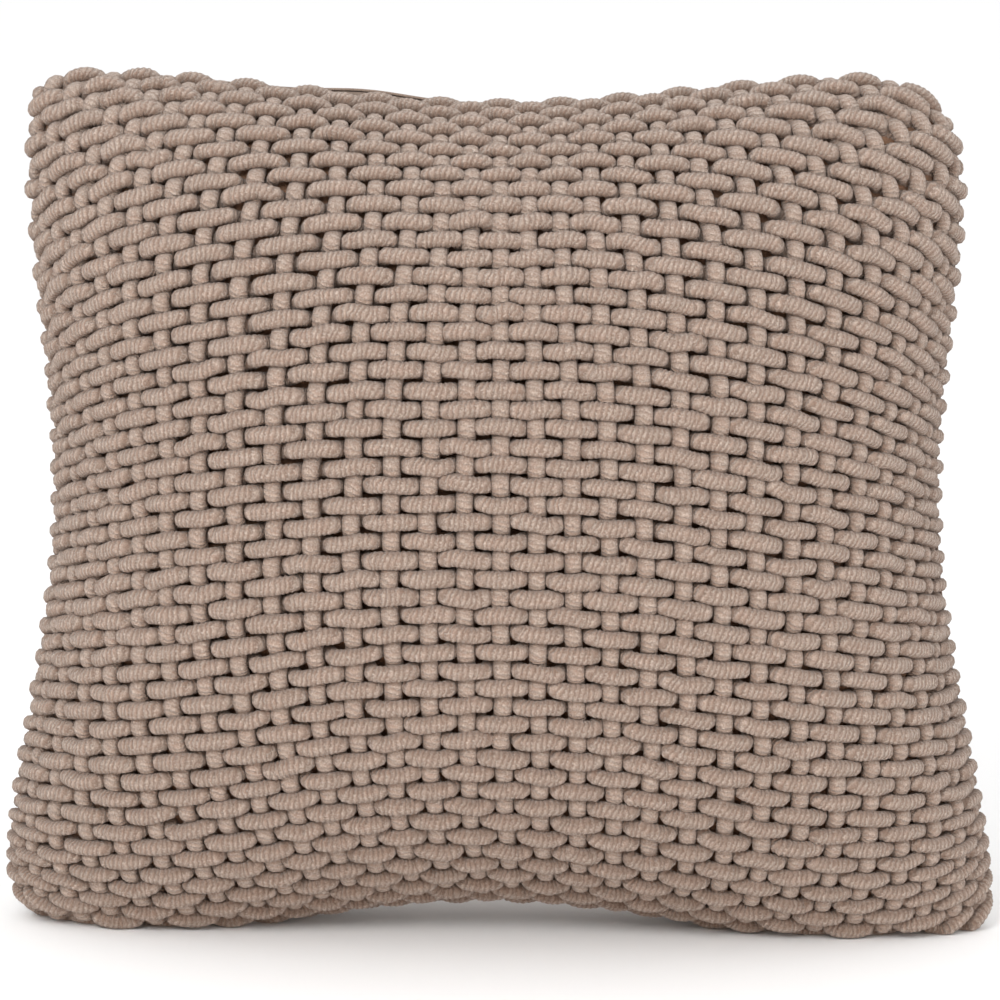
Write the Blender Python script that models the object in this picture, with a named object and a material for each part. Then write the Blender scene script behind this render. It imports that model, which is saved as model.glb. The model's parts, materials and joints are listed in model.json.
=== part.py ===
"""Throw pillow: a woven cover with a cloth back, a zip across the lower back, and a stuffed insert.

Metres, +Z up. The pillow stands on its two bottom corners, with its woven front facing -Y.
A point of the cover is given by u, across from -1 to 1, and v, up from -1 to 1.
"""

import math

import bmesh
import bpy
import numpy as np

# Cover
BOTTOM_WIDTH = 0.411
TOP_WIDTH = 0.392
HEIGHT = 0.356
FRONT_DEPTH = 0.092
BACK_DEPTH = 0.088
SIDE_PULL = 0.0165
TOP_DIP = 0.014
BOTTOM_RISE = 0.025
SETTLE = 0.015
SETTLE_SOFTNESS = 0.0012
CORNER_CUT = 0.025
CORNER_POWER = 16
ROUNDNESS = 2.45

# Cloth layers
GAP = 0.0003
SEAM_GAP = 0.0002
LAYER_GAP = 0.001
WEAVE_THICKNESS = 0.013
LINING_THICKNESS = 0.0008
PANEL_THICKNESS = 0.0012
CASING_THICKNESS = 0.0008
ALLOWANCE_WIDTH = 0.009
ALLOWANCE_INSET = 0.003
ALLOWANCE_THICKNESS = 0.002
ALLOWANCE_OFFSET = 0.0006

# Zip, with across measured up the cloth and out measured from the back cloth's face
ZIP_HEIGHT = 0.095
ZIP_LENGTH = 0.270
ZIP_DEPTH = 0.0023
ZIP_EDGE = 0.005
ZIP_BAND = 0.022
ZIP_BLEND = 0.028
ZIP_CLEARANCE = 0.004
TOOTH_PITCH = 0.004
TOOTH_WIDTH = 0.0022
TOOTH_HALF_HEIGHT = 0.0013
TOOTH_TIP = 0.00055
TOOTH_ROOT = 0.0015
TOOTH_BACK = 0.0026
TAPE_WIDTH = 0.011
TAPE_HALF_THICKNESS = 0.0003
STOP_LENGTH = 0.0024
STITCH_OFFSET = 0.009
STITCH_END = 0.010
STITCH_WIDTH = 0.0006
STITCH_HEIGHT = 0.0005
SLIDER_LENGTH = 0.011
SLIDER_HALF_WIDTH = 0.0045
SLIDER_PLATE = 0.0012
SLIDER_WALL = 0.0011
SLIDER_TAPER = 0.88
BAIL_LENGTH = 0.0070
BAIL_POST = 0.0010
BAIL_HALF_WIDTH = 0.0009
BAIL_OPENING = 0.0017
BAIL_THICKNESS = 0.0009
TAB_LENGTH = 0.024
TAB_HALF_WIDTH = 0.0032
TAB_ARM = 0.0012
TAB_WINDOW = 0.0055
TAB_HALF_THICKNESS = 0.00045

# Grids
COLUMNS = 18
ROWS = 16
UPPER_ROWS = 9
LOWER_ROWS = 5
SETTLED_ROW = -0.945
ZIP_STEPS = 24

SEAM_Y = (FRONT_DEPTH - BACK_DEPTH) / 2

TAUPE = (0.36, 0.27, 0.22)
BROWN = (0.09, 0.055, 0.038)
BACK_TAUPE = (0.40, 0.32, 0.27)
TAPE_TAUPE = (0.30, 0.235, 0.195)
CASING_WHITE = (0.80, 0.79, 0.76)
FIBRE_WHITE = (0.88, 0.88, 0.86)
METAL = (0.35, 0.31, 0.27)


def raised_cosine(a):
    return 0.5 * (1 + np.cos(np.pi * a))


def settled(height):
    """The height after the cloth is pressed flat where it would pass below zero."""
    soft = (height + SETTLE_SOFTNESS) ** 2 / (4 * SETTLE_SOFTNESS)
    pressed = np.where(height < -SETTLE_SOFTNESS, 0.0, soft)
    return np.where(height > SETTLE_SOFTNESS, height, pressed)


def half_width(v):
    straight = BOTTOM_WIDTH + (TOP_WIDTH - BOTTOM_WIDTH) * (v + 1) / 2
    return straight / 2 - SIDE_PULL * raised_cosine(v)


def low_edge(u):
    return BOTTOM_RISE * raised_cosine(u) - SETTLE


def high_edge(u):
    return HEIGHT - TOP_DIP * raised_cosine(u)


def outline(u, v, inset):
    """The x and z of a cover point, moved in from the seam by inset."""
    rounded = 1 - CORNER_CUT * np.abs(u * v) ** CORNER_POWER
    low = low_edge(u) + inset
    high = high_edge(u) - inset
    x = u * (half_width(v) - inset) * rounded
    z = (low + high) / 2 + v * (high - low) / 2 * rounded
    return x, inset + settled(z - inset)


def fullness(u, v):
    return np.sqrt((1 - np.abs(u) ** ROUNDNESS) * (1 - np.abs(v) ** ROUNDNESS))


def cover_coordinates(x, z):
    """The u and v of a point of the cover that is away from its corners."""
    u = x / half_width(0.0)
    for _ in range(12):
        v = 2 * (z - low_edge(u)) / (high_edge(u) - low_edge(u)) - 1
        u = x / half_width(v)
    return u, v


def plain_back(u, v, inset):
    return SEAM_Y + SEAM_GAP + (BACK_DEPTH - inset) * fullness(u, v)


def plain_back_at(x, z):
    return plain_back(*cover_coordinates(x, z), 0.0)


# The zip lies on a cone about an upright axis in front of the pillow, fitted to the plain back.
ZIP_CROWN = plain_back_at(0.0, ZIP_HEIGHT)
ZIP_SAG = ZIP_CROWN - plain_back_at(ZIP_LENGTH / 2, ZIP_HEIGHT)
ZIP_RADIUS = (ZIP_LENGTH**2 / 4 + ZIP_SAG**2) / (2 * ZIP_SAG)
ZIP_AXIS_Y = ZIP_CROWN - ZIP_RADIUS
ZIP_RISE = plain_back_at(0.0, ZIP_HEIGHT + ZIP_BAND) - plain_back_at(0.0, ZIP_HEIGHT - ZIP_BAND)
ZIP_TILT = math.atan(ZIP_RISE / (2 * ZIP_BAND))
SLIDER_REST = ZIP_LENGTH / 2 - ZIP_CLEARANCE - STOP_LENGTH - SLIDER_LENGTH / 2


def zip_point(along, across, out):
    angle = along / ZIP_RADIUS
    reach = ZIP_RADIUS + across * math.sin(ZIP_TILT) + out * math.cos(ZIP_TILT)
    height = ZIP_HEIGHT + across * math.cos(ZIP_TILT) - out * math.sin(ZIP_TILT)
    return reach * math.sin(angle), ZIP_AXIS_Y + reach * math.cos(angle), height


def smooth_step(a):
    a = np.clip(a, 0, 1)
    return a * a * (3 - 2 * a)


def cover_front(u, v, rim_inset, depth_inset):
    x, z = outline(u, v, rim_inset)
    y = SEAM_Y - SEAM_GAP - (FRONT_DEPTH - depth_inset) * fullness(u, v)
    return np.stack([x, y, z], axis=-1)


def cover_back(u, v, rim_inset, depth_inset):
    x, z = outline(u, v, rim_inset)
    plain = plain_back(u, v, depth_inset)
    reach = ZIP_RADIUS + (z - ZIP_HEIGHT) * math.tan(ZIP_TILT) - depth_inset / math.cos(ZIP_TILT)
    band = ZIP_AXIS_Y + np.sqrt(reach**2 - x**2)
    near_along = smooth_step((ZIP_LENGTH / 2 + STITCH_END + ZIP_BLEND - np.abs(x)) / ZIP_BLEND)
    near_across = smooth_step((ZIP_BAND + ZIP_BLEND - np.abs(z - ZIP_HEIGHT)) / ZIP_BLEND)
    y = plain + (band - plain) * near_along * near_across
    return np.stack([x, y, z], axis=-1)


def clustered(count):
    """Values from -1 to 1, closer together towards both ends."""
    return np.sin(np.linspace(-math.pi / 2, math.pi / 2, count + 1))


def cover_grid():
    """The u and v of a whole face, with one row where the pressed bottom ends."""
    rows = np.sort(np.append(clustered(ROWS), SETTLED_ROW))
    return np.meshgrid(clustered(COLUMNS), rows)


def material(name, colour, roughness, metallic=0.0):
    made = bpy.data.materials.new(name)
    made.use_nodes = True
    shader = made.node_tree.nodes["Principled BSDF"]
    shader.inputs["Base Color"].default_value = (*colour, 1)
    shader.inputs["Roughness"].default_value = roughness
    shader.inputs["Metallic"].default_value = metallic
    return made


def add_object(name, vertices, faces, finish, pivot=(0, 0, 0), smooth=True):
    """One closed body. Its origin is its pivot."""
    shape = bmesh.new()
    for vertex in vertices:
        shape.verts.new([vertex[axis] - pivot[axis] for axis in range(3)])
    shape.verts.ensure_lookup_table()
    for face in faces:
        shape.faces.new([shape.verts[index] for index in face])
    bmesh.ops.recalc_face_normals(shape, faces=shape.faces)
    if shape.calc_volume(signed=True) < 0:
        bmesh.ops.reverse_faces(shape, faces=shape.faces)
    mesh = bpy.data.meshes.new(name)
    shape.to_mesh(mesh)
    shape.free()
    if smooth:
        mesh.shade_smooth()
        mesh.set_sharp_from_angle(angle=math.radians(35))
    mesh.materials.append(finish)
    made = bpy.data.objects.new(name, mesh)
    made.location = pivot
    bpy.context.scene.collection.objects.link(made)
    return made


def grid_faces(rows, columns, start=0):
    corner = [start + i * columns + j for i in range(rows - 1) for j in range(columns - 1)]
    return [(k, k + 1, k + columns + 1, k + columns) for k in corner]


def rim_indices(rows, columns):
    bottom = list(range(columns))
    right = [i * columns + columns - 1 for i in range(1, rows)]
    top = [(rows - 1) * columns + j for j in range(columns - 2, -1, -1)]
    left = [i * columns for i in range(rows - 2, 0, -1)]
    return bottom + right + top + left


def add_shell(name, outer, inner, finish):
    """A cloth layer between two grids of points that match."""
    rows, columns = outer.shape[:2]
    count = rows * columns
    vertices = [*outer.reshape(-1, 3).tolist(), *inner.reshape(-1, 3).tolist()]
    rim = rim_indices(rows, columns)
    walls = [(a, b, b + count, a + count) for a, b in zip(rim, rim[1:] + rim[:1])]
    faces = grid_faces(rows, columns) + grid_faces(rows, columns, count) + walls
    return add_object(name, vertices, faces, finish)


def add_sweep(name, sections, finish, closed=False):
    """A bar through matching cross-sections."""
    corners = len(sections[0])
    vertices = [point for section in sections for point in section]
    faces = []
    spans = len(sections) if closed else len(sections) - 1
    for i in range(spans):
        start = i * corners
        following = (i + 1) % len(sections) * corners
        for j in range(corners):
            k = (j + 1) % corners
            faces.append((start + j, start + k, following + k, following + j))
    if not closed:
        faces.append(tuple(range(corners)))
        faces.append(tuple(range(len(vertices) - corners, len(vertices))))
    return add_object(name, vertices, faces, finish)


def add_relief(name, place, along, across, filled, outs, finish, pivot=(0, 0, 0)):
    """A flat piece made of the filled cells of a grid, between two heights."""
    vertices = []
    faces = []
    found = {}

    def corner(i, j, k):
        if (i, j, k) not in found:
            found[i, j, k] = len(vertices)
            vertices.append(place(along[i], across[j], outs[k]))
        return found[i, j, k]

    sides = (((0, -1), (0, 0), (1, 0)), ((0, 1), (0, 1), (1, 1)), ((-1, 0), (0, 0), (0, 1)), ((1, 0), (1, 0), (1, 1)))
    for i, j in filled:
        for k in (0, 1):
            faces.append([corner(i, j, k), corner(i + 1, j, k), corner(i + 1, j + 1, k), corner(i, j + 1, k)])
        for step, first, second in sides:
            if (i + step[0], j + step[1]) not in filled:
                a = (i + first[0], j + first[1])
                b = (i + second[0], j + second[1])
                faces.append([corner(*a, 0), corner(*b, 0), corner(*b, 1), corner(*a, 1)])
    return add_object(name, vertices, faces, finish, pivot, smooth=False)


def add_front_layers():
    u, v = cover_grid()
    inset = 0.0
    layers = (
        ("woven_front", WEAVE_THICKNESS, material("woven_cord", TAUPE, 0.9)),
        ("front_lining", LINING_THICKNESS, material("brown_lining", BROWN, 0.95)),
        ("insert_casing_front", CASING_THICKNESS, material("casing_front", CASING_WHITE, 0.8)),
    )
    for name, thickness, finish in layers:
        outer = cover_front(u, v, inset, inset)
        inner = cover_front(u, v, inset + thickness, inset + thickness)
        add_shell(name, outer, inner, finish)
        inset += thickness + LAYER_GAP
    return inset


CASING_RIM = WEAVE_THICKNESS + LINING_THICKNESS + 2 * LAYER_GAP
SLIDER_TOP = GAP + TOOTH_HALF_HEIGHT - ZIP_DEPTH
SLIDER_BOTTOM = -ZIP_DEPTH - TOOTH_HALF_HEIGHT - GAP
CASING_DEPTH = SLIDER_PLATE - SLIDER_BOTTOM + 3 * GAP


def add_insert(filling_inset):
    u, v = cover_grid()
    outer = cover_back(u, v, CASING_RIM, CASING_DEPTH)
    inner = cover_back(u, v, CASING_RIM + CASING_THICKNESS, CASING_DEPTH + CASING_THICKNESS)
    add_shell("insert_casing_back", outer, inner, material("casing_back", CASING_WHITE, 0.8))

    front = cover_front(u, v, filling_inset, filling_inset + SEAM_GAP)
    back = cover_back(u, v, filling_inset, CASING_DEPTH + CASING_THICKNESS + LAYER_GAP)
    rows, columns = u.shape
    vertices = front.reshape(-1, 3).tolist()
    rim = set(rim_indices(rows, columns))
    matching = {}
    for index, point in enumerate(back.reshape(-1, 3).tolist()):
        matching[index] = index if index in rim else len(vertices)
        if index not in rim:
            vertices.append(point)
    faces = grid_faces(rows, columns)
    faces += [tuple(matching[index] for index in face) for face in grid_faces(rows, columns)]
    add_object("insert_filling", vertices, faces, material("fibre_filling", FIBRE_WHITE, 0.95))


def add_back_panels():
    """Two panels that meet beyond the zip and part along it."""
    zip_u, _ = cover_coordinates(ZIP_LENGTH / 2 + ZIP_CLEARANCE, ZIP_HEIGHT)
    turn_u = ZIP_CLEARANCE / half_width(0.0)
    plain = [a for a in clustered(COLUMNS) if abs(abs(a) - zip_u) > 2.5 * turn_u]
    columns = np.array(sorted([*plain, -zip_u - turn_u, -zip_u, zip_u, zip_u + turn_u]))
    opening = np.where(np.abs(columns) <= zip_u + 1e-6, ZIP_EDGE, SEAM_GAP)
    for name, side, rows in (("back_panel_upper", 1, UPPER_ROWS), ("back_panel_lower", -1, LOWER_ROWS)):
        edge_v = row_at(columns, ZIP_HEIGHT + side * opening * math.cos(ZIP_TILT))
        band_v = row_at(columns, ZIP_HEIGHT + side * ZIP_BAND * np.ones_like(columns))
        spread = np.sin(np.linspace(0, math.pi / 2, rows + 1))[:, None]
        v = np.vstack([edge_v[None, :], band_v + (side - band_v) * spread])
        if side < 0:
            v = np.sort(np.vstack([v, np.full_like(edge_v, SETTLED_ROW)]), axis=0)[::-1]
        u = np.broadcast_to(columns, v.shape)
        outer = cover_back(u, v, 0.0, 0.0)
        inner = cover_back(u, v, PANEL_THICKNESS, PANEL_THICKNESS)
        add_shell(name, outer, inner, material(name + "_cloth", BACK_TAUPE, 0.85))


def row_at(u, z):
    return 2 * (z - low_edge(u)) / (high_edge(u) - low_edge(u)) - 1


def add_seam_allowance():
    """The trimmed edges of the cover's cloths, turned in behind the seam."""
    u, v = cover_grid()
    rim = rim_indices(*u.shape)
    u = u.reshape(-1)[rim]
    v = v.reshape(-1)[rim]
    outer_x, outer_z = outline(u, v, ALLOWANCE_INSET)
    inner_x, inner_z = outline(u, v, ALLOWANCE_INSET + ALLOWANCE_WIDTH)
    near = SEAM_Y + SEAM_GAP + ALLOWANCE_OFFSET
    far = near + ALLOWANCE_THICKNESS
    sections = []
    for ox, oz, ix, iz in zip(outer_x, outer_z, inner_x, inner_z):
        sections.append([(ox, near, oz), (ix, near, iz), (ix, far, iz), (ox, far, oz)])
    add_sweep("seam_allowance", sections, material("overlocked_edge", BROWN, 0.95), closed=True)


def add_zip_tapes():
    half = ZIP_LENGTH / 2
    start = TOOTH_BACK + GAP
    low = -ZIP_DEPTH - TAPE_HALF_THICKNESS
    high = -ZIP_DEPTH + TAPE_HALF_THICKNESS
    finish = material("zip_tape_cloth", TAPE_TAUPE, 0.85)
    for name, side in (("zip_tape_upper", 1), ("zip_tape_lower", -1)):
        corners = ((start, low), (start + TAPE_WIDTH, low), (start + TAPE_WIDTH, high), (start, high))
        stations = np.linspace(-half, half, ZIP_STEPS + 1)
        sections = [[zip_point(along, side * w, out) for w, out in corners] for along in stations]
        add_sweep(name, sections, finish)


def add_zip_teeth():
    """Two combs that face each other over a slot for the slider's neck."""
    reach = ZIP_LENGTH / 2 - ZIP_CLEARANCE
    count = int((2 * reach - STOP_LENGTH) / TOOTH_PITCH)
    outs = (-ZIP_DEPTH - TOOTH_HALF_HEIGHT, -ZIP_DEPTH + TOOTH_HALF_HEIGHT)
    finish = material("zip_tooth", METAL, 0.4, 0.6)
    for name, side, lead in (("zip_teeth_upper", 1, 0.0), ("zip_teeth_lower", -1, TOOTH_PITCH / 2)):
        first = -reach + GAP + lead
        along = [first + k * TOOTH_PITCH + part for k in range(count) for part in (0.0, TOOTH_WIDTH)]
        across = [side * TOOTH_TIP, side * TOOTH_ROOT, side * TOOTH_BACK]
        filled = {(i, 1) for i in range(len(along) - 1)} | {(i, 0) for i in range(0, len(along), 2)}
        add_relief(name, zip_point, along, across, filled, outs, finish)


def add_zip_stops():
    half = ZIP_LENGTH / 2
    outs = (-ZIP_DEPTH - TOOTH_HALF_HEIGHT, -ZIP_DEPTH + TOOTH_HALF_HEIGHT)
    finish = material("zip_stop", METAL, 0.35, 0.8)
    top = (half - STOP_LENGTH, half)
    bottom = (-half, -half + STOP_LENGTH)
    for name, side in (("zip_top_stop_upper", 1), ("zip_top_stop_lower", -1)):
        across = (side * TOOTH_TIP, side * TOOTH_BACK)
        add_relief(name, zip_point, top, across, {(0, 0)}, outs, finish)
    add_relief("zip_bottom_stop", zip_point, bottom, (-TOOTH_BACK, TOOTH_BACK), {(0, 0)}, outs, finish)


def add_topstitch():
    """One line of thread sewn round the zip, on the back cloth."""
    end = ZIP_LENGTH / 2 + STITCH_END
    side = STITCH_OFFSET
    steps = np.linspace(-end, end, ZIP_STEPS + 1)
    route = [(along, side) for along in steps] + [(along, -side) for along in steps[::-1]]
    sections = []
    for along, across in route:
        tilt_along = STITCH_WIDTH if abs(along) > end - GAP else 0.0
        inner = (along - math.copysign(tilt_along, along), across - math.copysign(STITCH_WIDTH, across))
        low = GAP
        high = GAP + STITCH_HEIGHT
        corners = ((along, across, low), (*inner, low), (*inner, high), (along, across, high))
        sections.append([zip_point(*corner) for corner in corners])
    add_sweep("zip_topstitch", sections, material("stitch_thread", TAPE_TAUPE, 0.7), closed=True)


def slider_frame(along, across, out):
    """A point of the slider, which is straight, given from its place at the closed end of the zip."""
    origin = np.array(zip_point(SLIDER_REST, 0, 0))
    angle = SLIDER_REST / ZIP_RADIUS
    tangent = np.array([math.cos(angle), -math.sin(angle), 0])
    up = np.array(zip_point(SLIDER_REST, 1, 0)) - origin
    outward = np.array(zip_point(SLIDER_REST, 0, 1)) - origin
    return tuple(origin + along * tangent + across * up + out * outward)


ZIP_PIVOT = (0.0, ZIP_AXIS_Y, ZIP_HEIGHT)
TAB_PIVOT_OUT = SLIDER_TOP + SLIDER_PLATE + BAIL_OPENING / 2
TAB_PIVOT = slider_frame(0, 0, TAB_PIVOT_OUT)


def add_slider():
    """Two plates joined by a neck between the rows of teeth, with walls outside them and a bail on top."""
    neck = TOOTH_TIP - GAP
    wide = SLIDER_HALF_WIDTH
    wall = wide - SLIDER_WALL
    upper_lip = -ZIP_DEPTH + TAPE_HALF_THICKNESS + GAP
    lower_lip = -ZIP_DEPTH - TAPE_HALF_THICKNESS - GAP
    right = [
        (neck, SLIDER_TOP),
        (wall, SLIDER_TOP),
        (wall, upper_lip),
        (wide, upper_lip),
        (wide, SLIDER_TOP + SLIDER_PLATE),
    ]
    under = [
        (wide, SLIDER_BOTTOM - SLIDER_PLATE),
        (wide, lower_lip),
        (wall, lower_lip),
        (wall, SLIDER_BOTTOM),
        (neck, SLIDER_BOTTOM),
    ]
    profile = under + right
    profile += [(-across, out) for across, out in reversed(profile)]
    half = SLIDER_LENGTH / 2
    stations = ((-half, SLIDER_TAPER), (-half / 2, 1.0), (half / 2, 1.0), (half, SLIDER_TAPER))
    sections = []
    for along, taper in stations:
        points = [(along, across * (taper if abs(across) > neck else 1), out) for across, out in profile]
        sections.append([relative(slider_frame(*point), ZIP_PIVOT) for point in points])
    finish = material("slider_metal", METAL, 0.3, 0.9)
    slider = add_sweep("zip_slider", sections, finish)
    slider.location = ZIP_PIVOT
    slider.data.shade_flat()

    foot = SLIDER_TOP + SLIDER_PLATE / 2
    under_bridge = SLIDER_TOP + SLIDER_PLATE + BAIL_OPENING
    top = under_bridge + BAIL_THICKNESS
    outside = BAIL_LENGTH / 2
    inside = outside - BAIL_POST
    arch = [
        (-outside, foot),
        (-outside, under_bridge),
        (-inside, top),
        (inside, top),
        (outside, under_bridge),
        (outside, foot),
        (inside, foot),
        (inside, under_bridge),
        (-inside, under_bridge),
        (-inside, foot),
    ]
    sides = (-BAIL_HALF_WIDTH, BAIL_HALF_WIDTH)
    bail_sections = [[slider_frame(along, across, out) for along, out in arch] for across in sides]
    bail = add_sweep("slider_bail", bail_sections, finish)
    bail.hide_render = True
    bail.display_type = "WIRE"
    join = slider.modifiers.new("bail", "BOOLEAN")
    join.operation = "UNION"
    join.object = bail


def relative(point, pivot):
    return tuple(point[axis] - pivot[axis] for axis in range(3))


def add_pull_tab():
    """A flat tab whose crossbar passes under the bail. It lies back along the closed zip."""
    bar = TAB_HALF_THICKNESS
    along = [bar, -bar, -bar - TAB_WINDOW, -TAB_LENGTH * 0.75, -TAB_LENGTH * 0.95, -TAB_LENGTH]
    across = [-TAB_HALF_WIDTH, TAB_ARM - TAB_HALF_WIDTH, TAB_HALF_WIDTH - TAB_ARM, TAB_HALF_WIDTH]
    narrowing = dict(zip(along, (1.0, 1.0, 0.9, 0.95, 0.85, 0.55)))
    outs = (TAB_PIVOT_OUT - TAB_HALF_THICKNESS, TAB_PIVOT_OUT + TAB_HALF_THICKNESS)
    filled = {(0, 0), (0, 1), (0, 2), (1, 0), (1, 2)}
    filled |= {(i, j) for i in (2, 3, 4) for j in range(3)}

    def place(distance, side, out):
        return slider_frame(distance, side * narrowing[distance], out)

    add_relief("zip_pull_tab", place, along, across, filled, outs, material("tab_metal", METAL, 0.3, 0.9), TAB_PIVOT)


def main():
    for old in list(bpy.data.objects):
        bpy.data.objects.remove(old)
    filling_inset = add_front_layers()
    add_insert(filling_inset)
    add_back_panels()
    add_seam_allowance()
    add_zip_tapes()
    add_zip_teeth()
    add_zip_stops()
    add_topstitch()
    add_slider()
    add_pull_tab()


main()
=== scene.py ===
import json
import math

import bpy
import numpy as np
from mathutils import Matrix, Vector


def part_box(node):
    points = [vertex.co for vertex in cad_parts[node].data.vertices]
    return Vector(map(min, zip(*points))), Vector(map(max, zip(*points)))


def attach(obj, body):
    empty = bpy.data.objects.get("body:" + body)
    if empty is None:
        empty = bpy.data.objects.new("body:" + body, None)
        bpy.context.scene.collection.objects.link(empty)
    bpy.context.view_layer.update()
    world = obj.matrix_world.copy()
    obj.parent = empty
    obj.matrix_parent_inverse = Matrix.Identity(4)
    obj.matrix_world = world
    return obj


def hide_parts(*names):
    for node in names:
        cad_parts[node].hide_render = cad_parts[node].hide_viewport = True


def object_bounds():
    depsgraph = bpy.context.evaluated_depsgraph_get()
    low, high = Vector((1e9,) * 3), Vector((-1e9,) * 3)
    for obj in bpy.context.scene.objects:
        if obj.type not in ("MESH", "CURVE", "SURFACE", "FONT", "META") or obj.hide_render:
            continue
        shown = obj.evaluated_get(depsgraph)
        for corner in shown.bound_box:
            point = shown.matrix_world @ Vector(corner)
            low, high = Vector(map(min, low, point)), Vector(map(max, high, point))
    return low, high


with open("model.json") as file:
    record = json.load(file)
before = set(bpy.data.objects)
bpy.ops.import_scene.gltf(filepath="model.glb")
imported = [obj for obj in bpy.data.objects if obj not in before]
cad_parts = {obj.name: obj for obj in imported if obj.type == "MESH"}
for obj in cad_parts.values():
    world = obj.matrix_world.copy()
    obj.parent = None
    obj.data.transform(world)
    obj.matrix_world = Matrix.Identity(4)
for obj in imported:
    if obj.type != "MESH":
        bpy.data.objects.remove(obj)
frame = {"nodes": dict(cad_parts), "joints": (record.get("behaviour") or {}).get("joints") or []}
CAD_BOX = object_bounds()

bl_info = {
    "name": "Woven Throw Pillow",
    "version": (1, 0, 0),
    "blender": (4, 5, 0),
    "location": "View3D > Sidebar > Pillow",
    "description": "Dresses a throw pillow with woven cords, cloth, a zip and a stuffed insert",
    "category": "Object",
}

WOVEN_LOW, WOVEN_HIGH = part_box("woven_front")
BACK_LOW, BACK_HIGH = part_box("back_panel_upper")
TAPE_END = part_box("zip_tape_upper")[1][0]
ZIP_TRAVEL = next(joint for joint in frame["joints"] if joint["name"] == "zip_travel")
TAB_SWING = next(joint for joint in frame["joints"] if joint["name"] == "pull_tab_swing")
SEAM_Y = BACK_LOW[1]
CORNER_CUT = 0.045
CORNER_POWER = 9
CORNER_LEAN = 0.6
SETTLE_SOFTNESS = 0.0012
ZIP_BAND = 0.022
ZIP_BLEND = 0.028
STITCH_END = 0.010
CORD_SHIFT = 1.37
CORD_RING = 10
CORD_SQUARENESS = 0.9
LINE_SAMPLES = 1601
RIB_SAMPLES = 4
WARP_SAMPLES = 10
LINING_THICKNESS = 0.0006
PANEL_THICKNESS = 0.0009
PANEL_RIM = 0.0015
ZIP_EDGE = 0.0056
SLIT_CLOSED = 0.0002
SLIT_SHORT = 0.001
SLIT_TURN = 0.0025
SEAM_RIM = 0.0028
SEAM_TURNED = 0.0136
SEAM_SECTION = (
    (SEAM_RIM, -0.0006),
    (SEAM_RIM, 0.0012),
    (SEAM_TURNED, 0.0026),
    (SEAM_TURNED, 0.0008),
)
SEAM_LOOP = 0.0003
FOLD_HEIGHT = 0.0016
BROAD_HEIGHT = 0.0011
ROWS_FREE_BELOW = 0.22
ROWS_FREE_ABOVE = 0.2
GATHER_BELOW = 0.15
GATHER_REACH = 0.35
DRIFT_PLACE = 0.25
DRIFT_SPREAD = 0.13
DRIFT_RIM = 0.05
DRIFT_BACK = 0.8
FIBRE_GRAIN = 2200.0
FLECK_GRAIN = 1150.0
PATCH_GRAIN = 170.0
LENGTH_GRAIN = 9.0


# ---------------------------------------------------------------- settings


def length(label, about, value):
    return bpy.props.FloatProperty(
        name=label, description=about, default=value, unit="LENGTH", precision=4
    )


def number(label, about, value):
    return bpy.props.FloatProperty(name=label, description=about, default=value)


def colour(label, about, value):
    return bpy.props.FloatVectorProperty(
        name=label, description=about, default=value, size=3, min=0, max=1, subtype="COLOR"
    )


class PillowShape(bpy.types.PropertyGroup):
    bottom_width: length("Bottom width", "Width across the two bottom corners", 0.4184)
    top_width: length("Top width", "Width across the two top corners", 0.3852)
    side_pull: length("Side pull", "How far the middle of each side is drawn in", 0.018)
    top_dip: length("Top dip", "How far the middle of the top sinks", 0.014)
    bottom_rise: length("Bottom rise", "How far the middle of the bottom edge rises", 0.025)
    settle: length("Settle", "How far the bottom corners are pressed flat", 0.015)
    roundness: number("Roundness", "Fullness of the section", 2.45)


class PillowWeave(bpy.types.PropertyGroup):
    warps: bpy.props.IntProperty(name="Warps", description="Upright cords", default=30, min=2)
    wefts: bpy.props.IntProperty(name="Wefts", description="Cords that cross the warps", default=54, min=2)
    weft_width: length("Weft width", "Width of a crossing cord", 0.0071)
    weft_depth: length("Weft depth", "Thickness of a crossing cord", 0.0062)
    warp_width: length("Warp width", "Width of an upright cord", 0.0073)
    warp_depth: length("Warp depth", "Thickness of an upright cord", 0.0052)
    weft_wave: length("Weft wave", "How far a weft floats above the middle", 0.0037)
    weft_dive: length("Weft dive", "How far a weft dives below the middle", 0.0036)
    arch: number("Arch", "How much a float curves over", 0.36)
    dive_start: number("Dive start", "Share of a warp's pitch", 0.31)
    dive_end: number("Dive end", "Share of a warp's pitch", 0.51)
    warp_wave: length("Warp wave", "How far a warp rises over a weft", 0.0026)
    middle: length("Middle", "Depth of the middle of the weave below the cover's face", 0.0064)
    rim: length("Rim", "How far the weave's middle ends inside the cover's outline", 0.0056)
    row_rise: number("Row rise", "Rise of the middle rows", 0.024)
    row_drop: number("Row drop", "Fall of the row ends", 0.078)
    arch_reach: number("Arch reach", "Share that falls", 0.42)
    gather: number("Gather", "How much the warps draw together at the middle and sides", 0.2)
    drift: number("Drift", "Sideways stray of the left warps", 0.018)
    rib_pitch: length("Rib pitch", "Distance between the ribs of a cord", 0.0019)
    rib_depth: length("Rib depth", "Height of a rib", 0.00016)
    seed: bpy.props.IntProperty(name="Seed", description="Chooses the unevenness of the cords", default=7)


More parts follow.
